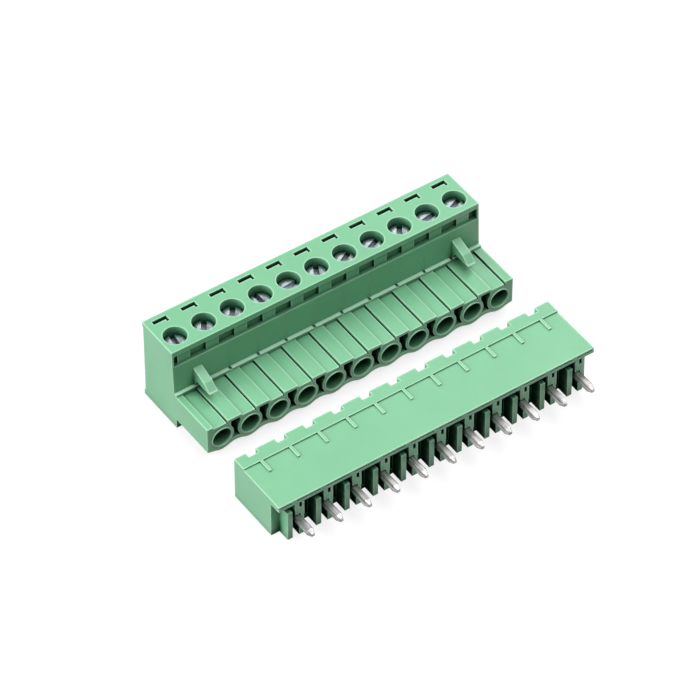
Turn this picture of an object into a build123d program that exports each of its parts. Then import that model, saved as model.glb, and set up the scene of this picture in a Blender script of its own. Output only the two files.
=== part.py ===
from build123d import *
from math import cos, radians, sin
import os

os.makedirs("parts", exist_ok=True)

# Pluggable terminal block in two halves, in millimetres. +X runs along the row of poles,
# -Y is the way the plug travels into the header, +Z is up, and both halves stand on Z = 0.
# The halves are drawn from the front face of the plug's tongue, at Y = 0, and the finished
# pieces are moved so that the origin is the middle of the whole footprint.

# Row of poles
poles = 11
pitch = 5.08
pole_xs = [(index - (poles - 1) / 2) * pitch for index in range(poles)]
boundary_xs = [x + pitch / 2 for x in pole_xs[:-1]]

# Plug housing, with Y = 0 at the front face of its tongue
plug_length = poles * pitch
plug_height = 15.2
plug_depth = 17.2
rear_lip = 0.3
top_plate_t = 0.95
foot_height = 1.2
wall_y = 9.0
wall_draft = 0.15
ledge_depth = 0.75
ledge_height = 0.35
ledge_break_width = 0.6
ledge_break_depth = 0.15
ledge_break_shift = 2.2
step_y = 8.4
tongue_top = 6.6
contact_z = 3.8

# Tongue: round tubes in a shell whose underside follows them
bore_r = 1.62
tube_wall = 0.55
shell_r = 2.6
crown_angle = 26
gap_width = 1.7
gap_roof = 0.5
gap_floor = 1.25
gap_depth = 6.5
channel_width = 2.6
channel_depth = 0.35
channel_shift = -0.17
groove_width = 0.22
groove_depth = 0.4

# Latch hooks over the tongue
hook_width = 1.5
hook_reach = 4.4
hook_height = 2.2
hook_nose = 1.5
hook_knee_height = 1.2
hook_leg = 0.8

# Marker channel under the front edge of the top plate
marker_height = 2.05
marker_depth = 0.5
marker_end_wall = 0.3
pad_width = 2.28
pad_shift = -0.2
window_depth = 0.5

# Clamp screws and the holes they sit in
screw_y = 12.05
head_r = 1.65
head_height = 1.5
head_depth = 1.35
head_clearance = 0.22
seat_t = 0.7
shank_r = 1.42
running_clearance = 0.06
lift_clearance = 0.05
slot_width = 0.85
slot_depth = 0.8
slot_turns = [80, 55, 55, 95, 5, 60, 30, 25, 55, 10, 25]

# Flag-shaped slots behind the screws
flag_y = 16.0
flag_shift = -0.1
flag_length = 2.5
flag_width = 0.7
flag_bar_length = 1.15
flag_bar_width = 0.45
flag_depth = 2.6

# Chambers, rising cages and wire entries
pole_wall = 0.98
floor_t = 0.7
cage_clearance = 0.1
cage_depth = 4.2
cage_wall = 0.45
cage_floor = 0.8
cage_top = 2.0
cage_window = 5.3
cage_chamfer = 0.35
cage_travel = 2.4
entry_width = 3.6
entry_height = 3.9
funnel_flare = 0.35
funnel_depth = 1.5
funnel_land = 0.1

# Forked contacts
bar_t = 0.8
bar_width = 2.6
bar_top = 6.3
bar_end_clearance = 0.5
contact_clearance = 0.05
web_t = 0.8
leaf_t = 0.35
leaf_height = 1.4
leaf_root_spread = 0.25
leaf_tip_y = 2.8
leaf_pinch_y = 3.7

# Header: its mouth lies rest_gap in front of the tongue
rest_gap = 8.05
mating_clearance = 0.12
end_wall = 0.5
top_wall = 0.98
bottom_wall = 1.0
base_t = 1.1
tip_clearance = 0.25
stop_clearance = 0.05
strip_width = 2.5
strip_raise = 0.27
notch_width = 1.75
notch_depth = 0.9
notch_shift = -0.25
ridge_width = 0.5
ridge_length = 2.4
latch_clearance = 0.1
plate_overhang = 2.1
lip_t = 0.28
lip_groove_height = 0.22
lip_groove_depth = 0.35
lip_pad_width = 0.9
lip_pad_shift = -0.4
rib_depth = 2.15
fin_width = 0.88
fin_shift = -1.24
fin_height = 5.5
block_width = 1.2
block_shift = 0.3
block_bottom = 4.45
column_width = 0.4
column_bottom = 3.9
block_notch_width = 0.5
block_notch_height = 1.0
block_notch_depth = 0.6
pocket_margin = 0.15
pocket_depth = 0.6
stub_width = 0.9
stub_shift = 0.77

# Header pins
pin_size = 1.0
pin_collar = 0.14
pin_collar_length = 0.7
pin_tip_length = 0.9
pin_tip_cut = 0.27
solder_length = 4.2
mouth_depth = 2.3
pin_fit = 0.01

# Places worked out from the sizes above
half_length = plug_length / 2
rear_y = plug_depth - rear_lip
ledge_y = wall_y - ledge_depth
ledge_top = tongue_top + ledge_height
plate_underside = plug_height - top_plate_t
head_top = plug_height - head_depth
head_seat = head_top - head_height - lift_clearance
chamber_top = head_seat - seat_t
chamber_width = pitch - pole_wall
chamber_depth = cage_depth + 2 * cage_clearance
chamber_front = screw_y - chamber_depth / 2
chamber_back = screw_y + chamber_depth / 2
cage_bottom = floor_t + cage_clearance
cage_width = chamber_width - 2 * cage_clearance
cage_height = cage_floor + cage_window + cage_top
shank_bottom = bar_top + lift_clearance
contact_slot_depth = web_t + 2 * contact_clearance
travel = rest_gap + ledge_y - stop_clearance
header_length = plug_length + 2 * (mating_clearance + end_wall)
cavity_top = tongue_top + mating_clearance
plate_top = cavity_top + top_wall
strip_top = plate_top + strip_raise
base_inner_y = travel + tip_clearance
base_outer_y = base_inner_y + base_t
plate_front_y = base_outer_y + plate_overhang
pin_tip_y = rest_gap + mouth_depth
solder_tip_y = base_outer_y + rib_depth + solder_length


def along_row(shift, across):
    """One point per pole, shifted along the row and set across it, in a sketch plane."""
    return [(x + shift, across) for x in pole_xs]


# Wire entry: a funnel that narrows from the rear face to the chamber
with BuildPart() as funnel:
    entry_z = cage_bottom + cage_floor + entry_height / 2
    mouth_width = entry_width + 2 * funnel_flare
    mouth_height = entry_height + 2 * funnel_flare
    throat_y = rear_y - funnel_depth
    with BuildSketch(Plane.XZ.offset(-rear_y)):
        with Locations((0, entry_z)):
            Rectangle(mouth_width, mouth_height)
    extrude(amount=funnel_depth)
    throat = funnel.faces().sort_by(Axis.Y)[0]
    chamfer(
        throat.edges(),
        length=funnel_flare,
        length2=funnel_depth - funnel_land,
        reference=throat,
    )
    with BuildSketch(Plane.XZ.offset(-throat_y)):
        with Locations((0, entry_z)):
            Rectangle(entry_width, entry_height)
    extrude(amount=throat_y - chamber_back)

# Plug housing: the clamp body is one side profile drawn along the row
with BuildPart() as plug_housing:
    with BuildSketch(Plane.YZ.offset(-half_length)):
        with BuildLine():
            Polyline(
                (step_y, 0),
                (plug_depth, 0),
                (plug_depth, foot_height - rear_lip),
                (rear_y, foot_height),
                (rear_y, plate_underside),
                (plug_depth, plate_underside + rear_lip),
                (plug_depth, plug_height),
                (wall_y + wall_draft, plug_height),
                (wall_y - wall_draft, ledge_top),
                (ledge_y, ledge_top),
                (ledge_y, contact_z),
                (step_y, contact_z),
                close=True,
            )
        make_face()
    extrude(amount=plug_length)

    # Tongue: flat on top, with a crown under each tube and a valley between them
    crown_half = shell_r * sin(radians(crown_angle))
    crown_edge_z = contact_z - shell_r * cos(radians(crown_angle))
    valley_r = (pitch / 2 - crown_half) / sin(radians(crown_angle))
    valley_z = crown_edge_z + valley_r * (1 - cos(radians(crown_angle)))
    with BuildSketch(Plane.XZ.offset(-step_y)):
        with BuildLine():
            for x in pole_xs:
                ThreePointArc(
                    (x - crown_half, crown_edge_z),
                    (x, contact_z - shell_r),
                    (x + crown_half, crown_edge_z),
                )
            for x in boundary_xs:
                ThreePointArc(
                    (x - pitch / 2 + crown_half, crown_edge_z),
                    (x, valley_z),
                    (x + pitch / 2 - crown_half, crown_edge_z),
                )
            Polyline(
                (pole_xs[-1] + crown_half, crown_edge_z),
                (half_length, valley_z),
                (half_length, tongue_top),
                (-half_length, tongue_top),
                (-half_length, valley_z),
                (pole_xs[0] - crown_half, crown_edge_z),
            )
        make_face()
    extrude(amount=step_y)

    # Dark gaps between the tubes, inside the shell
    gap_top_z = tongue_top - gap_roof
    gap_bottom_z = contact_z - shell_r + gap_floor
    with BuildSketch(Plane.XZ):
        with Locations(*[(x, (gap_top_z + gap_bottom_z) / 2) for x in boundary_xs]):
            Rectangle(gap_width, gap_top_z - gap_bottom_z)
        with Locations(*along_row(0, contact_z)):
            Circle(bore_r + tube_wall, mode=Mode.SUBTRACT)
    extrude(amount=-gap_depth, mode=Mode.SUBTRACT)

    # Bores of the tubes run back to the slots of the contacts
    with BuildSketch(Plane.XZ):
        with Locations(*along_row(0, contact_z)):
            Circle(bore_r)
    extrude(amount=contact_slot_depth - chamber_front, mode=Mode.SUBTRACT)

    # Shallow channels in the tongue's top, one per pole, with a groove down the right side
    channel_floor = tongue_top - channel_depth
    with BuildSketch(Plane.XY.offset(tongue_top)):
        with Locations(*along_row(channel_shift, ledge_y / 2)):
            Rectangle(channel_width, ledge_y)
    extrude(amount=-channel_depth, mode=Mode.SUBTRACT)
    with BuildSketch(Plane.XY.offset(channel_floor)):
        with Locations(*along_row(channel_shift + channel_width / 2, ledge_y / 2)):
            Rectangle(groove_width, ledge_y, align=(Align.MAX, Align.CENTER))
    extrude(amount=-groove_depth, mode=Mode.SUBTRACT)

    # Low places along the ledge
    with BuildSketch(Plane.XY.offset(ledge_top)):
        with Locations(*[(x + ledge_break_shift, ledge_y) for x in pole_xs[:-1]]):
            Rectangle(ledge_break_width, ledge_depth, align=(Align.CENTER, Align.MIN))
    extrude(amount=-ledge_break_depth, mode=Mode.SUBTRACT)

    # Latch hooks, outside the second boundary from each end
    hook_under = strip_top + latch_clearance
    for hook_x in (-boundary_xs[-1] - hook_width, boundary_xs[-1]):
        with BuildSketch(Plane.YZ.offset(hook_x)):
            with BuildLine():
                Polyline(
                    (wall_y + wall_draft, hook_under + hook_height),
                    (wall_y - hook_reach + hook_nose, hook_under + hook_knee_height),
                    (wall_y - hook_reach, hook_under),
                    (wall_y - hook_leg, hook_under),
                    (ledge_y + channel_depth, tongue_top),
                    (wall_y + wall_draft, tongue_top),
                    close=True,
                )
            make_face()
        extrude(amount=hook_width)

    # Marker channel, deeper between the poles, so that a pad stands at every pole
    marker_back = wall_y + marker_depth
    marker_width = plug_length - 2 * marker_end_wall
    with BuildSketch(Plane.XZ.offset(-marker_back)):
        with Locations((0, plate_underside - marker_height / 2)):
            Rectangle(marker_width, marker_height)
    extrude(amount=marker_depth + wall_draft, mode=Mode.SUBTRACT)
    with BuildSketch(Plane.XZ.offset(-marker_back)):
        with Locations((0, plate_underside - marker_height / 2)):
            Rectangle(marker_width, marker_height)
        with Locations(*along_row(pad_shift, plate_underside - marker_height / 2)):
            Rectangle(pad_width, marker_height, mode=Mode.SUBTRACT)
    extrude(amount=-window_depth, mode=Mode.SUBTRACT)

    # Chambers for the rising cages
    with BuildSketch(Plane.XY.offset(floor_t)):
        with Locations(*along_row(0, screw_y)):
            Rectangle(chamber_width, chamber_depth)
    extrude(amount=chamber_top - floor_t, mode=Mode.SUBTRACT)

    # Slot through which each contact passes from its tube into the chamber
    with BuildSketch(Plane.XZ.offset(-chamber_front)):
        slot_bottom = contact_z - leaf_height / 2 - contact_clearance
        slot_top = bar_top + contact_clearance
        with Locations(*along_row(0, (slot_bottom + slot_top) / 2)):
            Rectangle(bar_width + 2 * contact_clearance, slot_top - slot_bottom)
    extrude(amount=contact_slot_depth, mode=Mode.SUBTRACT)

    # Screw holes: wide for the head, narrower through the seat
    with BuildSketch(Plane.XY.offset(plug_height)):
        with Locations(*along_row(0, screw_y)):
            Circle(head_r + head_clearance)
    extrude(amount=head_seat - plug_height, mode=Mode.SUBTRACT)
    with BuildSketch(Plane.XY.offset(head_seat)):
        with Locations(*along_row(0, screw_y)):
            Circle(shank_r + 2 * running_clearance)
    extrude(amount=-seat_t, mode=Mode.SUBTRACT)

    # Flag-shaped slots behind the screws
    with BuildSketch(Plane.XY.offset(plug_height)):
        with Locations(*along_row(flag_shift - flag_bar_width / 2, flag_y)):
            Rectangle(flag_length - flag_bar_width, flag_width)
        bar_shift = flag_shift + flag_length / 2 - flag_bar_width
        with Locations(*along_row(bar_shift, flag_y + flag_width / 2)):
            Rectangle(flag_bar_width, flag_bar_length, align=(Align.MIN, Align.MAX))
    extrude(amount=-flag_depth, mode=Mode.SUBTRACT)

    # Wire entries in the rear face
    with Locations(*[(x, 0, 0) for x in pole_xs]):
        add(funnel.part, mode=Mode.SUBTRACT)

# Clamp screw on the Z axis, with a slot across its head
with BuildPart() as screw:
    with BuildSketch(Plane.XZ):
        with BuildLine():
            Polyline(
                (0, shank_bottom),
                (shank_r, shank_bottom),
                (shank_r, head_top - head_height),
                (head_r, head_top - head_height),
                (head_r, head_top),
                (0, head_top),
                close=True,
            )
        make_face()
    revolve(axis=Axis.Z)
    with BuildSketch(Plane.XY.offset(head_top)):
        Rectangle(2 * head_r, slot_width)
    extrude(amount=-slot_depth, mode=Mode.SUBTRACT)

# Rising cage on the Z axis: a sleeve that is open along Y, with a thick top for the screw
with BuildPart() as cage:
    with BuildSketch(Plane.XZ.offset(cage_depth / 2)) as sleeve:
        with Locations((0, cage_bottom)):
            Rectangle(cage_width, cage_height, align=(Align.CENTER, Align.MIN))
        chamfer(sleeve.vertices(), length=cage_chamfer)
        with Locations((0, cage_bottom + cage_floor)):
            Rectangle(
                cage_width - 2 * cage_wall,
                cage_window,
                align=(Align.CENTER, Align.MIN),
                mode=Mode.SUBTRACT,
            )
    extrude(amount=-cage_depth)
    with BuildSketch(Plane.XY.offset(cage_bottom + cage_height)):
        Circle(shank_r + running_clearance)
    extrude(amount=-cage_top, mode=Mode.SUBTRACT)

# Forked contact: a bar under the screw, a web down the wall, and two sprung leaves
with BuildPart() as contact:
    web_back = chamber_front - contact_clearance
    web_front = web_back - web_t
    leaf_bottom = contact_z - leaf_height / 2
    with BuildSketch(Plane.YZ.offset(-bar_width / 2)):
        with BuildLine():
            Polyline(
                (web_front, leaf_bottom),
                (web_back, leaf_bottom),
                (web_back, bar_top - bar_t),
                (chamber_back - bar_end_clearance, bar_top - bar_t),
                (chamber_back - bar_end_clearance, bar_top),
                (web_front, bar_top),
                close=True,
            )
        make_face()
    extrude(amount=bar_width)
    pinch_x = pin_size / 2 + contact_clearance
    with BuildSketch(Plane.XY.offset(leaf_bottom)):
        for side in (-1, 1):
            with BuildLine():
                Polyline(
                    (side * (pinch_x + leaf_root_spread), web_front),
                    (side * pinch_x, leaf_pinch_y),
                    (side * (pinch_x + leaf_root_spread), leaf_tip_y),
                    (side * (pinch_x + leaf_root_spread + leaf_t), leaf_tip_y),
                    (side * (pinch_x + leaf_t), leaf_pinch_y),
                    (side * (pinch_x + leaf_root_spread + leaf_t), web_front),
                    close=True,
                )
            make_face()
    extrude(amount=leaf_height)

# Header housing: a side profile drawn along the row, then hollowed from its mouth
with BuildPart() as header_housing:
    with BuildSketch(Plane.YZ.offset(-header_length / 2)):
        with BuildLine():
            Polyline(
                (-rest_gap, 0),
                (-rest_gap, strip_top),
                (-rest_gap - strip_width, strip_top),
                (-rest_gap - strip_width, plate_top),
                (-plate_front_y, plate_top),
                (-plate_front_y, cavity_top),
                (-base_outer_y, cavity_top),
                (-base_outer_y, 0),
                close=True,
            )
        make_face()
    extrude(amount=header_length)
    with BuildSketch(Plane.XZ.offset(rest_gap)):
        with Locations((0, bottom_wall)):
            Rectangle(
                plug_length + 2 * mating_clearance,
                cavity_top - bottom_wall,
                align=(Align.CENTER, Align.MIN),
            )
    extrude(amount=base_inner_y - rest_gap, mode=Mode.SUBTRACT)

    # Notches in the raised strip at the mouth, and a short ridge behind each
    with BuildSketch(Plane.XY.offset(strip_top)):
        with Locations(*along_row(notch_shift, -rest_gap)):
            Rectangle(notch_width, notch_depth, align=(Align.CENTER, Align.MAX))
    extrude(amount=cavity_top - strip_top, mode=Mode.SUBTRACT)
    with BuildSketch(Plane.XY.offset(plate_top)):
        with Locations(*along_row(0, -rest_gap - strip_width)):
            Rectangle(ridge_width, ridge_length, align=(Align.CENTER, Align.MAX))
    extrude(amount=strip_raise)

    # Board side: per pole a fin on the left, a block under the plate with a thin column on its
    # right, and a stub under the pin
    block_right = block_shift + block_width / 2
    with BuildSketch(Plane.XZ.offset(base_outer_y)):
        with Locations(*along_row(fin_shift, 0)):
            Rectangle(fin_width, fin_height, align=(Align.CENTER, Align.MIN))
        with Locations(*along_row(stub_shift, 0)):
            Rectangle(stub_width, block_bottom, align=(Align.CENTER, Align.MIN))
        with Locations(*along_row(block_shift, block_bottom)):
            Rectangle(block_width, cavity_top - block_bottom, align=(Align.CENTER, Align.MIN))
        with Locations(*along_row(block_right, column_bottom)):
            Rectangle(column_width, cavity_top - column_bottom, align=(Align.MIN, Align.MIN))
    extrude(amount=rib_depth)
    with BuildSketch(Plane.XZ.offset(base_outer_y + rib_depth)):
        with Locations(*along_row(block_right, cavity_top)):
            Rectangle(block_notch_width, block_notch_height, align=(Align.MAX, Align.MAX))
    extrude(amount=-block_notch_depth, mode=Mode.SUBTRACT)

    # Groove under the lip of the plate, filled at every pole, and pockets beside the fins
    groove_z = plate_top - lip_t - lip_groove_height / 2
    with BuildSketch(Plane.XZ.offset(plate_front_y)):
        with Locations((0, groove_z)):
            Rectangle(header_length, lip_groove_height)
        with Locations(*along_row(lip_pad_shift, groove_z)):
            Rectangle(lip_pad_width, lip_groove_height, mode=Mode.SUBTRACT)
    extrude(amount=-lip_groove_depth, mode=Mode.SUBTRACT)
    pocket_left = block_right + column_width + pocket_margin
    pocket_right = pitch + fin_shift - fin_width / 2 - pocket_margin
    with BuildSketch(Plane.XZ.offset(base_outer_y)):
        with Locations(*[(x + pocket_left, bottom_wall) for x in pole_xs[:-1]]):
            Rectangle(
                pocket_right - pocket_left,
                cavity_top - bottom_wall - pocket_margin,
                align=(Align.MIN, Align.MIN),
            )
    extrude(amount=-pocket_depth, mode=Mode.SUBTRACT)

    # Pin holes through the base, with room for the collar on the board side
    with BuildSketch(Plane.XZ.offset(base_inner_y)):
        with Locations(*along_row(0, contact_z)):
            Rectangle(pin_size + 2 * pin_fit, pin_size + 2 * pin_fit)
    extrude(amount=base_t + rib_depth, mode=Mode.SUBTRACT)
    with BuildSketch(Plane.XZ.offset(base_outer_y)):
        collar_hole = pin_size + 2 * (pin_collar + pin_fit)
        with Locations(*along_row(0, contact_z)):
            Rectangle(collar_hole, collar_hole)
    extrude(amount=rib_depth, mode=Mode.SUBTRACT)

# Header pin on the Y axis: square, with a collar at the board side and tapered tips
with BuildPart() as pin:
    with BuildSketch(Plane.XZ.offset(pin_tip_y)):
        with Locations((0, contact_z)):
            Rectangle(pin_size, pin_size)
    extrude(amount=solder_tip_y - pin_tip_y)
    for end in (0, -1):
        tip = pin.faces().sort_by(Axis.Y)[end]
        chamfer(tip.edges(), length=pin_tip_cut, length2=pin_tip_length, reference=tip)
    with BuildSketch(Plane.XZ.offset(base_outer_y)):
        with Locations((0, contact_z)):
            Rectangle(pin_size + 2 * pin_collar, pin_size + 2 * pin_collar)
    extrude(amount=pin_collar_length)


# The whole footprint is centred on the origin
centre_shift = (solder_tip_y - plug_depth) / 2


def write_piece(name, solid, x=0, y=0, turn=0):
    """Place one finished piece in the row and write it under its own name."""
    piece = Location((x, y + centre_shift, 0), (0, 0, turn)) * solid
    piece.label = name
    export_step(piece, f"parts/{name}.step")


write_piece("plug_housing", plug_housing.part)
write_piece("header_housing", header_housing.part)

# Each pole's own pieces, with the screws left at different turns
for number, x in enumerate(pole_xs, start=1):
    slot_turn = slot_turns[(number - 1) % len(slot_turns)]
    write_piece(f"clamp_screw_{number:02d}", screw.part, x, screw_y, slot_turn)
    write_piece(f"wire_cage_{number:02d}", cage.part, x, screw_y)
    write_piece(f"spring_contact_{number:02d}", contact.part, x)
    write_piece(f"header_pin_{number:02d}", pin.part, x)

print("Origin ahead of the tongue face:", round(centre_shift, 3))
print("Plug travel:", round(travel, 3))
print("Cage travel:", cage_travel)
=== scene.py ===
import math

import bmesh
import bpy
from mathutils import Matrix, Vector


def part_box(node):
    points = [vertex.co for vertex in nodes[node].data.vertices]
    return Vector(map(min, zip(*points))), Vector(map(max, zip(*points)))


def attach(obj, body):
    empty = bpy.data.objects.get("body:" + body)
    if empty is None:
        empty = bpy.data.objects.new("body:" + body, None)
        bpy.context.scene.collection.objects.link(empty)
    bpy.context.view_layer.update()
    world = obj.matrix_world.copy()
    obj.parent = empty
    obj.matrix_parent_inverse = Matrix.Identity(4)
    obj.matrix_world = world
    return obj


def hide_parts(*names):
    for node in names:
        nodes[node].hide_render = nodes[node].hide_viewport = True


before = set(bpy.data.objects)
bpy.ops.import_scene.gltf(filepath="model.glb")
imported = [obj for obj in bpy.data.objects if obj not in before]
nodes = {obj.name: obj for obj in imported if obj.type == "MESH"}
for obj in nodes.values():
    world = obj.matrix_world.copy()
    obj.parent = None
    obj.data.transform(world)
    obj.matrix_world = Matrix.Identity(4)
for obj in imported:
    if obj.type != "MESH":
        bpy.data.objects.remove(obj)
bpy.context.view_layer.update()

MM = 0.001
scene = bpy.context.scene
plug_lo, plug_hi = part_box("plug_housing")

# Clamp screws, in millimetres; rows are per turn, and a share is of the head's edge or radius
HEAD_EDGE = 0.16
EDGE_START_SHARE = 1.1
EDGE_BEND_SHARE = 0.35
HEAD_DISH = 0.05
DISH_SHARE = 0.55
HEAD_SEGMENTS = 64
SLOT_WIDTH = 0.85
SLOT_DEPTH = 0.8
SLOT_OVERRUN = 1.0
SHANK_EDGE = 0.3
THREAD_PITCH = 0.5
THREAD_HEIGHT = 0.24
THREAD_ROWS = 8
THREAD_SEGMENTS = 32

# Levels read from the plain screws, in metres, told apart to a thousandth of a millimetre
LEVEL_DIGITS = 6
SAME_LEVEL = 1e-6

# Rims round the tube mouths, in millimetres
RIM_INNER = 1.62
RIM_WIDTH = 0.23
RIM_HEIGHT = 0.2
RIM_SUNK = 0.05
RIM_STEPS = 8
RIM_SEGMENTS = 72

# The plug's leaning wall, as distance behind the tongue's face and height, in millimetres
WALL_BOTTOM = (8.85, 6.95)
WALL_TOP = (9.15, 15.2)

# Seams on that wall, placed to the right of each pole, in millimetres
SEAM_PLACES = (2.25, 2.58)
SEAM_WIDTH = 0.12
SEAM_HEIGHT = 0.03
SEAM_SUNK = 0.02
SEAM_BOTTOM = 7.0
SEAM_TOP = 12.15

# The crowned strip along the ledge, in millimetres: its front lies behind the tongue's face, its
# lean, shoulder and flat lie behind that front, and the share is of the crown's height
LEDGE_FRONT = 8.26
LEDGE_LEAN = 0.02
LEDGE_SHOULDER = 0.14
SHOULDER_SHARE = 0.75
LEDGE_FLAT = 0.3
LEDGE_CROWN = 0.07
CROWN_IN_WALL = 0.02
FOOT_IN_WALL = 0.05
LEDGE_SUNK = 0.1
LEDGE_BREAK = 0.45
LEDGE_SHIFT = 2.2
LEDGE_END = 0.1

# Edges are shaded smooth below this angle
SHARP_ANGLE = math.radians(32)

# How far each effect of a finish reaches, in millimetres
EDGE_ROUND = 0.12
METAL_ROUND = 0.05
EDGE_REACH = 0.28
# How far the painted shade in crevices reaches, on most of the plastic and on the ledge strip
CREVICE_SHADE_REACH = 3.5
LEDGE_SHADE_REACH = 0.6

# Ranges that a finish reads: how open a place is, from shut in to clear, how sharp an outer edge
# is, from flat to sharp, and the band of its noise that turns to roughness
NONE_TO_ALL = (0.0, 1.0)
SHUT_TO_CLEAR = (0.2, 0.68)
FLAT_TO_SHARP = (0.94, 0.55)
ROUGH_BAND = (0.3, 0.7)

# Samples round a place, to find how open, how sharp or how rounded it is
SURFACE_SAMPLES = 8

# Green polyamide: noise scales per metre, bump depth and scattering in millimetres
GREEN_BASE = (0.154, 0.422, 0.232)
GREEN_CLOUD = (0.140, 0.395, 0.215)
# Pale green painted as a highlight along outer edges
GREEN_EDGE_HIGHLIGHT = (0.40, 0.68, 0.48)
# Dark green painted as shade where the surface is shut in
GREEN_CREVICE_SHADE = (0.011, 0.062, 0.029)
GREEN_CLOUD_SCALE = 90.0
GREEN_CLOUD_BAND = (0.35, 0.7)
GREEN_WAVE_SCALE = 260.0
GREEN_WAVE_STRENGTH = 0.25
GREEN_GRAIN_SCALE = 2600.0
GREEN_GRAIN_STRENGTH = 0.05
GREEN_BUMP_DEPTH = 0.02
GREEN_ROUGHNESS = (0.36, 0.46)
GREEN_GLOSS = (0.0, 0.7)
GREEN_GLOSS_OPENING = (0.4, 1.0)
GREEN_SCATTER = (0.4, 0.9, 0.5)
GREEN_SCATTER_SHARE = 0.12
GREEN_IOR = 1.5

# Plated metals: noise scales per metre, depth of wear in millimetres
PLATING_SCALE = 900.0
PLATING_BAND = (0.35, 0.65)
WEAR_SCALE = 7000.0
WEAR_STRENGTH = 0.12
WEAR_DEPTH = 0.01
# Share of painted shade along outer edges, where a metal is given an edge colour
EDGE_SHADE_SHARE = 0.75
UNSTRETCHED = (1.0, 1.0, 1.0)

# Studio, in metres and watts
WHITE = (1.0, 1.0, 1.0)
FLOOR_REACH = 3.0
FLOOR_DROP = 0.02 * MM
FLOOR_SEEN = 0.22
FLOOR_GLOW = 0.80
FLOOR_BOUNCE = 0.16
FLOOR_ROUGHNESS = 0.9
AIR_STRENGTH = 0.08
LAMPS = {
    "left_light": {"size": (0.9, 0.9), "place": (-0.93, 0.26, 0.57), "power": 16.6},
    "overhead_panel": {"size": (0.44, 1.2), "place": (0.44, 0.25, 0.80), "power": 7.8},
    "front_panel": {"size": (0.6, 0.3), "place": (0.15, -0.45, 0.88), "power": 4.1},
}

# Camera, with its distance and sensor in millimetres and its clipping in metres
CAMERA_AZIMUTH = math.radians(-35.029)
CAMERA_ELEVATION = math.radians(46.111)
CAMERA_ROLL = math.radians(0.124)
CAMERA_DISTANCE = 742.06
SENSOR_WIDTH = 36.0
CLIP_NEAR = 0.01
CLIP_FAR = 20.0
PICTURE_WIDTH = 700
FOCAL_PIXELS = 4919.69
SHIFT_PIXELS = (-12.254, 34.024)


# Shader helpers

def new_material(name):
    mat = bpy.data.materials.new(name)
    mat.use_nodes = True
    tree = mat.node_tree
    return mat, tree, tree.nodes["Principled BSDF"]


def fill(tree, node, inputs):
    """Set a node's inputs, or link those whose value is another node's output."""
    for key, value in inputs.items():
        if isinstance(value, bpy.types.NodeSocket):
            tree.links.new(value, node.inputs[key])
        else:
            node.inputs[key].default_value = value


def add(tree, kind, inputs, **settings):
    node = tree.nodes.new(kind)
    for key, value in settings.items():
        setattr(node, key, value)
    fill(tree, node, inputs)
    return node


def opaque(colour):
    """A plain colour with full alpha; a colour that comes from a node stays as it is."""
    return (*colour, 1.0) if isinstance(colour, tuple) else colour


def grey(level):
    return (level, level, level)


def surface_place(tree):
    return add(tree, "ShaderNodeTexCoord", {}).outputs["Object"]


def noise(tree, place, scale, detail, rough):
    inputs = {"Vector": place, "Scale": scale, "Detail": detail, "Roughness": rough}
    return add(tree, "ShaderNodeTexNoise", inputs).outputs["Fac"]


def remap(tree, value, source, target, curve="LINEAR"):
    inputs = {
        "Value": value,
        "From Min": source[0],
        "From Max": source[1],
        "To Min": target[0],
        "To Max": target[1],
    }
    return add(tree, "ShaderNodeMapRange", inputs, interpolation_type=curve).outputs["Result"]


def mix_colour(tree, factor, first, second):
    inputs = {0: factor, 6: opaque(first), 7: opaque(second)}
    return add(tree, "ShaderNodeMix", inputs, data_type="RGBA").outputs[2]


def bump(tree, height, strength, depth, normal):
    """Relief over a normal, with its depth in millimetres."""
    inputs = {"Height": height, "Strength": strength, "Distance": depth * MM, "Normal": normal}
    return add(tree, "ShaderNodeBump", inputs).outputs["Normal"]


def rounded_edges(tree, radius):
    """Normals that round the edges by a radius in millimetres."""
    inputs = {"Radius": radius * MM}
    return add(tree, "ShaderNodeBevel", inputs, samples=SURFACE_SAMPLES).outputs["Normal"]


def openness(tree, reach):
    """One in the open, falling to zero where the surface is shut in."""
    inputs = {"Distance": reach * MM}
    node = add(tree, "ShaderNodeAmbientOcclusion", inputs, samples=SURFACE_SAMPLES)
    return remap(tree, node.outputs["AO"], SHUT_TO_CLEAR, NONE_TO_ALL, "SMOOTHSTEP")


def painted_edge_tone(tree, colour, edge, most):
    """Painted highlight or shade on outer edges: the colour passes to the edge's own, by the given
    share at most.
    """
    node = add(
        tree,
        "ShaderNodeAmbientOcclusion",
        {"Distance": EDGE_REACH * MM},
        samples=SURFACE_SAMPLES,
        inside=True,
        only_local=True,
    )
    sharpness = remap(tree, node.outputs["AO"], FLAT_TO_SHARP, (0.0, most))
    return mix_colour(tree, sharpness, colour, edge)


# Green polyamide: faint clouds, a wavy skin, a fine grain, painted edge highlights, painted crevice
# shade

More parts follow.
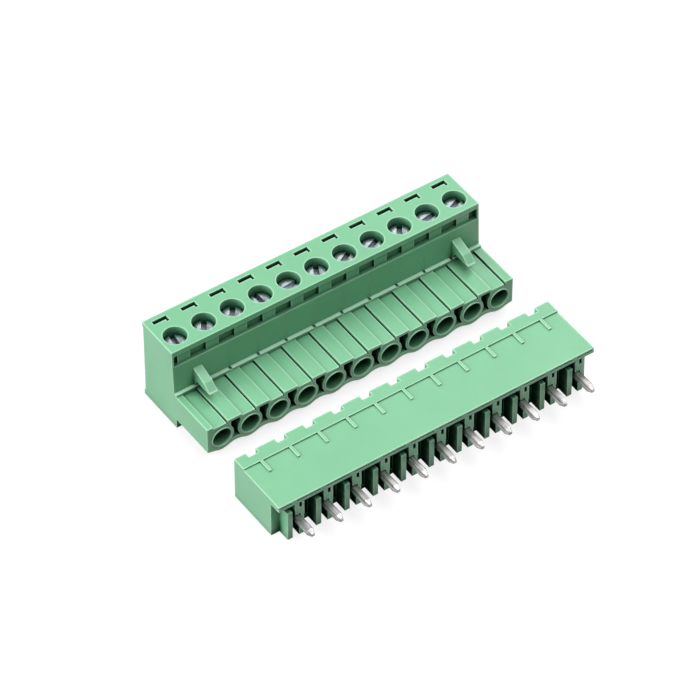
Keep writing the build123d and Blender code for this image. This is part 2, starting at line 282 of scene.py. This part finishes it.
def green_plastic(name, edge_highlight_share, reach):
    mat, tree, bsdf = new_material(name)
    place = surface_place(tree)
    cloud = noise(tree, place, GREEN_CLOUD_SCALE, detail=4.0, rough=0.6)
    grain = noise(tree, place, GREEN_GRAIN_SCALE, detail=2.0, rough=0.6)
    wave = noise(tree, place, GREEN_WAVE_SCALE, detail=2.0, rough=0.5)
    clouds = remap(tree, cloud, GREEN_CLOUD_BAND, NONE_TO_ALL)
    clouded = mix_colour(tree, clouds, GREEN_BASE, GREEN_CLOUD)
    # Painted highlight: pale along outer edges
    edge_lit = painted_edge_tone(tree, clouded, GREEN_EDGE_HIGHLIGHT, edge_highlight_share)
    clear = openness(tree, reach)
    rounded = rounded_edges(tree, EDGE_ROUND)
    wavy = bump(tree, wave, GREEN_WAVE_STRENGTH, GREEN_BUMP_DEPTH, rounded)
    finish = {
        # Painted shade: the colour darkens to a dark green where the surface is shut in
        "Base Color": mix_colour(tree, clear, GREEN_CREVICE_SHADE, edge_lit),
        "Specular IOR Level": remap(tree, clear, GREEN_GLOSS_OPENING, GREEN_GLOSS),
        "Roughness": remap(tree, cloud, ROUGH_BAND, GREEN_ROUGHNESS),
        "Normal": bump(tree, grain, GREEN_GRAIN_STRENGTH, GREEN_BUMP_DEPTH, wavy),
        "IOR": GREEN_IOR,
        "Subsurface Weight": GREEN_SCATTER_SHARE,
        "Subsurface Radius": [length * MM for length in GREEN_SCATTER],
        "Subsurface Scale": 1.0,
    }
    fill(tree, bsdf, finish)
    return mat


# Plated metal: uneven plating, drawn out where it is stretched, fine wear, and painted edge shade if
# given

def metal(name, base, darker, roughness, stretch=UNSTRETCHED, edge=None):
    mat, tree, bsdf = new_material(name)
    drawn = add(tree, "ShaderNodeMapping", {"Vector": surface_place(tree), "Scale": stretch})
    place = drawn.outputs["Vector"]
    cloud = noise(tree, place, PLATING_SCALE, detail=4.0, rough=0.6)
    wear = noise(tree, place, WEAR_SCALE, detail=3.0, rough=0.7)
    colour = mix_colour(tree, remap(tree, cloud, PLATING_BAND, NONE_TO_ALL), base, darker)
    # Painted shade along outer edges, where an edge colour is given
    if edge:
        colour = painted_edge_tone(tree, colour, edge, EDGE_SHADE_SHARE)
    rounded = rounded_edges(tree, METAL_ROUND)
    finish = {
        "Base Color": colour,
        "Roughness": remap(tree, cloud, ROUGH_BAND, roughness),
        "Normal": bump(tree, wear, WEAR_STRENGTH, WEAR_DEPTH, rounded),
        "Metallic": 1.0,
    }
    fill(tree, bsdf, finish)
    return mat


# The share sets the painted highlight on outer edges; the reach, how far the painted shade in
# crevices spreads
green = green_plastic("green_polyamide", edge_highlight_share=0.85, reach=CREVICE_SHADE_REACH)
seam_green = green_plastic("green_seam", edge_highlight_share=0.3, reach=CREVICE_SHADE_REACH)
ledge_green = green_plastic("green_ledge", edge_highlight_share=0.9, reach=LEDGE_SHADE_REACH)
zinc = metal(
    "zinc_plated_screw",
    base=(0.58, 0.63, 0.67),
    darker=(0.36, 0.40, 0.44),
    roughness=(0.28, 0.44),
)
nickel = metal(
    "nickel_plated_cage",
    base=(0.52, 0.50, 0.47),
    darker=(0.40, 0.39, 0.36),
    roughness=(0.30, 0.45),
)
tin = metal(
    "tin_plated_contact",
    base=(0.58, 0.58, 0.57),
    darker=(0.46, 0.46, 0.45),
    roughness=(0.30, 0.48),
)
bright_tin = metal(
    "tin_plated_pin",
    base=(0.60, 0.59, 0.58),
    darker=(0.21, 0.205, 0.20),
    roughness=(0.24, 0.40),
    stretch=(3.0, 0.12, 3.0),
    # Near-black edge colour: painted shade along the pins' outer edges
    edge=(0.085, 0.083, 0.08),
)
FINISH_OF = {
    "plug_housing": green,
    "header_housing": green,
    "clamp_screw": zinc,
    "wire_cage": nickel,
    "spring_contact": tin,
    "header_pin": bright_tin,
}


def finish_solids():
    for name, node in nodes.items():
        family = name if name in FINISH_OF else name.rsplit("_", 1)[0]
        node.data.materials.clear()
        node.data.materials.append(FINISH_OF[family])


# Helpers for nodes and objects

def family_names(family):
    """Names of the nodes of one family, in order."""
    return sorted(name for name in nodes if name.startswith(family))


def number_of(name):
    return name.rsplit("_", 1)[1]


def pin_axis(name):
    """X and height of a header pin, which its pole of the plug shares, in metres."""
    lo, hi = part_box(name)
    return (lo.x + hi.x) / 2, (lo.z + hi.z) / 2


def boundary_poles():
    """X of each pole that has a boundary to its right, in millimetres."""
    return [pin_axis(name)[0] / MM for name in family_names("header_pin")[:-1]]


def new_object(name, data):
    obj = bpy.data.objects.new(name, data)
    scene.collection.objects.link(obj)
    return obj


def new_piece(name, mesh, material):
    mesh.materials.clear()
    mesh.materials.append(material)
    mesh.shade_smooth()
    mesh.set_sharp_from_angle(angle=SHARP_ANGLE)
    return new_object(name, mesh)


# Mesh helpers, with all sizes in millimetres

def mesh_of(name, bm):
    """Mesh of what was built, with its faces turned outward."""
    bmesh.ops.recalc_face_normals(bm, faces=bm.faces)
    mesh = bpy.data.meshes.new(name)
    bm.to_mesh(mesh)
    bm.free()
    return mesh


def ring(bm, radii, height):
    """Points round Z, one at each radius; a single zero radius gives a point on the axis."""
    points = []
    for step, radius in enumerate(radii):
        turn = 2 * math.pi * step / len(radii)
        place = (radius * math.cos(turn), radius * math.sin(turn), height)
        points.append(bm.verts.new([value * MM for value in place]))
    return points


def bridge(bm, first, second):
    """Faces from one ring to the next, as triangles where one of them is a single point."""
    count = max(len(first), len(second))
    for step in range(count):
        after = (step + 1) % count
        corners = [
            first[step % len(first)],
            first[after % len(first)],
            second[after % len(second)],
            second[step % len(second)],
        ]
        bm.faces.new(list(dict.fromkeys(corners)))


def close_ends(bm, first, last):
    bm.faces.new(last)
    bm.faces.new(list(reversed(first)))


def revolved(name, profile, segments):
    """Mesh of revolution about Z from (radius, height) points."""
    bm = bmesh.new()
    rings = []
    for radius, height in profile:
        radii = [radius] * segments if radius else [0]
        rings.append(ring(bm, radii, height))
    for first, second in zip(rings, rings[1:]):
        bridge(bm, first, second)
    return mesh_of(name, bm)


def add_prism(bm, outlines):
    """Closed prism between two outlines with as many points."""
    rings = []
    for outline in outlines:
        rings.append([bm.verts.new([value * MM for value in point]) for point in outline])
    bridge(bm, *rings)
    close_ends(bm, *rings)


def block_mesh(name, lo, hi):
    """Rectangular block from its two corners."""
    bm = bmesh.new()
    bmesh.ops.create_cube(bm, size=1.0)
    for vert in bm.verts:
        for axis in range(3):
            vert.co[axis] = (hi[axis] if vert.co[axis] > 0 else lo[axis]) * MM
    return mesh_of(name, bm)


def cut_by(mesh, cutter_mesh):
    """The mesh with the cutter's volume taken away."""
    body = new_object("cut_body", mesh)
    cutter = new_object("cut_tool", cutter_mesh)
    change = body.modifiers.new("slot", "BOOLEAN")
    change.operation = "DIFFERENCE"
    change.solver = "EXACT"
    change.object = cutter
    depsgraph = bpy.context.evaluated_depsgraph_get()
    result = bpy.data.meshes.new_from_object(body.evaluated_get(depsgraph))
    bpy.data.objects.remove(body)
    bpy.data.objects.remove(cutter)
    return result


def joined(name, meshes):
    bm = bmesh.new()
    for part in meshes:
        bm.from_mesh(part)
    return mesh_of(name, bm)


# Clamp screws: a slotted cheese head with a turned edge over a threaded shank

def head_mesh(head_r, head_h):
    """Cheese head about Z, its top at z = 0, slotted along X."""
    profile = [
        (0, -head_h),
        (head_r, -head_h),
        (head_r, -HEAD_EDGE * EDGE_START_SHARE),
        (head_r - HEAD_EDGE * EDGE_BEND_SHARE, -HEAD_EDGE * EDGE_BEND_SHARE),
        (head_r - HEAD_EDGE, 0),
        (head_r * DISH_SHARE, 0),
        (0, -HEAD_DISH),
    ]
    blank = revolved("screw_head", profile, HEAD_SEGMENTS)
    reach = head_r + SLOT_OVERRUN
    cutter = block_mesh(
        "slot_tool",
        (-reach, -SLOT_WIDTH / 2, -SLOT_DEPTH),
        (reach, SLOT_WIDTH / 2, SLOT_OVERRUN),
    )
    return cut_by(blank, cutter)


def thread_mesh(radius, length):
    """Threaded shank about Z, from z = 0 down, with a chamfered tip."""
    bm = bmesh.new()
    rows = int(length / THREAD_PITCH * THREAD_ROWS)
    rings = []
    for row in range(rows + 1):
        depth = length * row / rows
        tip = max(0.0, depth - (length - SHANK_EDGE))
        radii = []
        for step in range(THREAD_SEGMENTS):
            phase = (depth / THREAD_PITCH + step / THREAD_SEGMENTS) % 1.0
            flank = THREAD_HEIGHT * (1 - abs(2 * phase - 1))
            radii.append(min(radius - tip, radius - THREAD_HEIGHT + flank))
        rings.append(ring(bm, radii, -depth))
    for upper, lower in zip(rings, rings[1:]):
        bridge(bm, upper, lower)
    close_ends(bm, rings[0], rings[-1])
    return mesh_of("screw_thread", bm)


def flat_distance(first, second):
    """Distance between two points as seen from above."""
    return (first.xy - second.xy).length


def slot_turn(floor):
    """Angle of a slot, from the corners at the two ends of its floor."""
    far = max(floor, key=lambda place: flat_distance(place, floor[0]))
    corners = sorted(floor, key=lambda place: (place - far).length)
    way = (corners[0] + corners[1]) / 2 - (corners[-1] + corners[-2]) / 2
    return math.atan2(way.y, way.x)


def read_screw(name):
    """Axis, radii and levels of a plain screw, in metres, and the way its slot points.

    The slot's floor is the second level from the top, and the head's underside the next below.
    """
    lo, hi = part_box(name)
    middle = (lo + hi) / 2
    places = [vert.co.copy() for vert in nodes[name].data.vertices]
    levels = sorted({round(place.z, LEVEL_DIGITS) for place in places})
    slot_level = levels[-2]
    head_levels = [level for level in levels if lo.z + SAME_LEVEL < level < slot_level]
    foot = [place for place in places if abs(place.z - lo.z) < SAME_LEVEL]
    floor = [place for place in places if abs(place.z - slot_level) < 2 * SAME_LEVEL]
    return {
        "centre": middle,
        "top": hi.z,
        "head_under": head_levels[-1],
        "foot": lo.z,
        "head_r": (hi.x - lo.x) / 2,
        "shank_r": max(flat_distance(place, middle) for place in foot),
        "turn": slot_turn(floor),
    }


def add_screws():
    """A slotted, threaded screw in place of each plain one, its slot turned the same way.

    They are all alike, so one mesh, made from the first, serves them all.
    """
    names = family_names("clamp_screw")
    pattern = read_screw(names[0])
    head_h = (pattern["top"] - pattern["head_under"]) / MM
    shank_h = (pattern["head_under"] - pattern["foot"]) / MM
    head = head_mesh(pattern["head_r"] / MM, head_h)
    shank = thread_mesh(pattern["shank_r"] / MM, shank_h)
    shank.transform(Matrix.Translation((0, 0, -head_h * MM)))
    mesh = joined("slotted_screw", [head, shank])
    for name in names:
        number = number_of(name)
        plain = read_screw(name)
        screw = new_piece(f"slotted_screw_{number}", mesh, zinc)
        screw.location = (plain["centre"].x, plain["centre"].y, plain["top"])
        screw.rotation_euler.z = plain["turn"]
        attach(screw, f"screw_{number}")
        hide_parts(name)


# Raised rims round the mouths of the tubes

def rim_profile():
    """Rounded bead, from (radius, height) points that start and end inside the face."""
    points = [(RIM_INNER, -RIM_SUNK)]
    for step in range(RIM_STEPS + 1):
        turn = math.pi * (1 - step / RIM_STEPS)
        radius = RIM_INNER + RIM_WIDTH / 2 * (1 + math.cos(turn))
        points.append((radius, RIM_HEIGHT * math.sin(turn)))
    points.append((RIM_INNER + RIM_WIDTH, -RIM_SUNK))
    return points


def add_tube_rims():
    mesh = revolved("tube_rim", rim_profile(), RIM_SEGMENTS)
    for name in family_names("header_pin"):
        x, z = pin_axis(name)
        rim = new_piece(f"tube_rim_{number_of(name)}", mesh, green)
        rim.location = (x, plug_lo.y, z)
        rim.rotation_euler.x = math.radians(90)
        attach(rim, "plug")


# Faint seams on the plug's wall, two at each boundary between poles

def wall_y(height):
    """How far the leaning wall lies behind the tongue's face at a height."""
    bottom_y, bottom_z = WALL_BOTTOM
    top_y, top_z = WALL_TOP
    part = (height - bottom_z) / (top_z - bottom_z)
    return bottom_y + part * (top_y - bottom_y)


def seam_outline(x, height):
    """Section of a low bead at one height, its back sunk into the wall."""
    y = wall_y(height)
    return [
        (x - SEAM_WIDTH / 2, y + SEAM_SUNK, height),
        (x - SEAM_WIDTH / 4, y - SEAM_HEIGHT, height),
        (x + SEAM_WIDTH / 4, y - SEAM_HEIGHT, height),
        (x + SEAM_WIDTH / 2, y + SEAM_SUNK, height),
    ]


def add_wall_seams():
    bm = bmesh.new()
    for pole in boundary_poles():
        for place in SEAM_PLACES:
            x = pole + place
            add_prism(bm, [seam_outline(x, SEAM_BOTTOM), seam_outline(x, SEAM_TOP)])
    seams = new_piece("wall_seams", mesh_of("wall_seams", bm), seam_green)
    seams.location.y = plug_lo.y
    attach(seams, "plug")


# The crowned strip along the ledge at the wall's foot, broken at each boundary

def ledge_outline(x):
    """Section of the strip across its length, its foot and its back sunk into the plug."""
    back, base = WALL_BOTTOM
    return [
        (x, LEDGE_FRONT, base - LEDGE_SUNK),
        (x, LEDGE_FRONT + LEDGE_LEAN, base),
        (x, LEDGE_FRONT + LEDGE_SHOULDER, base + LEDGE_CROWN * SHOULDER_SHARE),
        (x, LEDGE_FRONT + LEDGE_FLAT, base + LEDGE_CROWN),
        (x, back + CROWN_IN_WALL, base + LEDGE_CROWN),
        (x, back + FOOT_IN_WALL, base - LEDGE_SUNK),
    ]


def add_ledge_strip():
    breaks = [x + LEDGE_SHIFT for x in boundary_poles()]
    starts = [plug_lo.x / MM + LEDGE_END] + [x + LEDGE_BREAK / 2 for x in breaks]
    ends = [x - LEDGE_BREAK / 2 for x in breaks] + [plug_hi.x / MM - LEDGE_END]
    bm = bmesh.new()
    for start, end in zip(starts, ends):
        add_prism(bm, [ledge_outline(start), ledge_outline(end)])
    strip = new_piece("ledge_strip", mesh_of("ledge_strip", bm), ledge_green)
    strip.location.y = plug_lo.y
    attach(strip, "plug")


# Studio: a white floor that holds the shadow, a low light from the left, a long panel overhead
# and a smaller one in front

def studio_white():
    """White to the camera and in reflections, and a plain grey to the object."""
    mat, tree, bsdf = new_material("studio_white")
    path = add(tree, "ShaderNodeLightPath", {})
    seen = path.outputs["Is Camera Ray"]
    for kind in ("Is Glossy Ray", "Is Transmission Ray"):
        either = add(tree, "ShaderNodeMath", {0: seen, 1: path.outputs[kind]}, operation="MAXIMUM")
        seen = either.outputs[0]
    finish = {
        "Base Color": mix_colour(tree, seen, grey(FLOOR_BOUNCE), grey(FLOOR_SEEN)),
        "Roughness": FLOOR_ROUGHNESS,
        "Specular IOR Level": 0.0,
        "Emission Color": opaque(WHITE),
        "Emission Strength": remap(tree, seen, NONE_TO_ALL, (0.0, FLOOR_GLOW)),
    }
    fill(tree, bsdf, finish)
    mat.cycles.emission_sampling = "NONE"
    return mat


def studio_floor():
    mesh = bpy.data.meshes.new("studio_floor")
    corners = [(-1, -1), (1, -1), (1, 1), (-1, 1)]
    mesh.from_pydata([(x * FLOOR_REACH, y * FLOOR_REACH, 0) for x, y in corners], [], [(0, 1, 2, 3)])
    mesh.materials.append(studio_white())
    floor = new_object("studio_floor", mesh)
    floor.location.z = -FLOOR_DROP


def studio_air():
    """Faint even light from all round."""
    world = bpy.data.worlds.new("studio_air")
    world.use_nodes = True
    tree = world.node_tree
    fill(tree, tree.nodes["Background"], {"Color": opaque(WHITE), "Strength": AIR_STRENGTH})
    scene.world = world


def card(name, size, place, power):
    """Rectangular light that faces the object."""
    data = bpy.data.lights.new(name, "AREA")
    data.shape = "RECTANGLE"
    data.size, data.size_y = size
    data.energy = power
    lamp = new_object(name, data)
    lamp.location = place
    lamp.rotation_mode = "QUATERNION"
    lamp.rotation_quaternion = (-Vector(place)).to_track_quat("-Z", "Y")


# Camera, at the photograph's angle, aimed at the foot of the tongue's face

def camera_back():
    """Direction from the object to the camera."""
    flat = math.cos(CAMERA_ELEVATION)
    x = math.sin(CAMERA_AZIMUTH) * flat
    y = -math.cos(CAMERA_AZIMUTH) * flat
    return Vector((x, y, math.sin(CAMERA_ELEVATION)))


def camera_turn(back):
    """Rotation that looks against the direction given, with the camera's small roll."""
    look = (-back).to_track_quat("-Z", "Y").to_matrix()
    right, up = look.col[0].copy(), look.col[1].copy()
    look.col[0] = right * math.cos(CAMERA_ROLL) + up * math.sin(CAMERA_ROLL)
    look.col[1] = up * math.cos(CAMERA_ROLL) - right * math.sin(CAMERA_ROLL)
    look.col[2] = back
    return look.to_quaternion()


def photo_camera():
    back = camera_back()
    data = bpy.data.cameras.new("photo_camera")
    data.sensor_width = SENSOR_WIDTH
    data.lens = FOCAL_PIXELS / PICTURE_WIDTH * SENSOR_WIDTH
    data.shift_x = SHIFT_PIXELS[0] / PICTURE_WIDTH
    data.shift_y = SHIFT_PIXELS[1] / PICTURE_WIDTH
    data.clip_start = CLIP_NEAR
    data.clip_end = CLIP_FAR
    cam = new_object("photo_camera", data)
    cam.location = back * CAMERA_DISTANCE * MM + Vector((0, plug_lo.y, 0))
    cam.rotation_mode = "QUATERNION"
    cam.rotation_quaternion = camera_turn(back)
    scene.camera = cam


finish_solids()
add_screws()
add_tube_rims()
add_wall_seams()
add_ledge_strip()
studio_floor()
studio_air()
for lamp_name, lamp_values in LAMPS.items():
    card(lamp_name, **lamp_values)
photo_camera()
scene.view_settings.view_transform = "Standard"
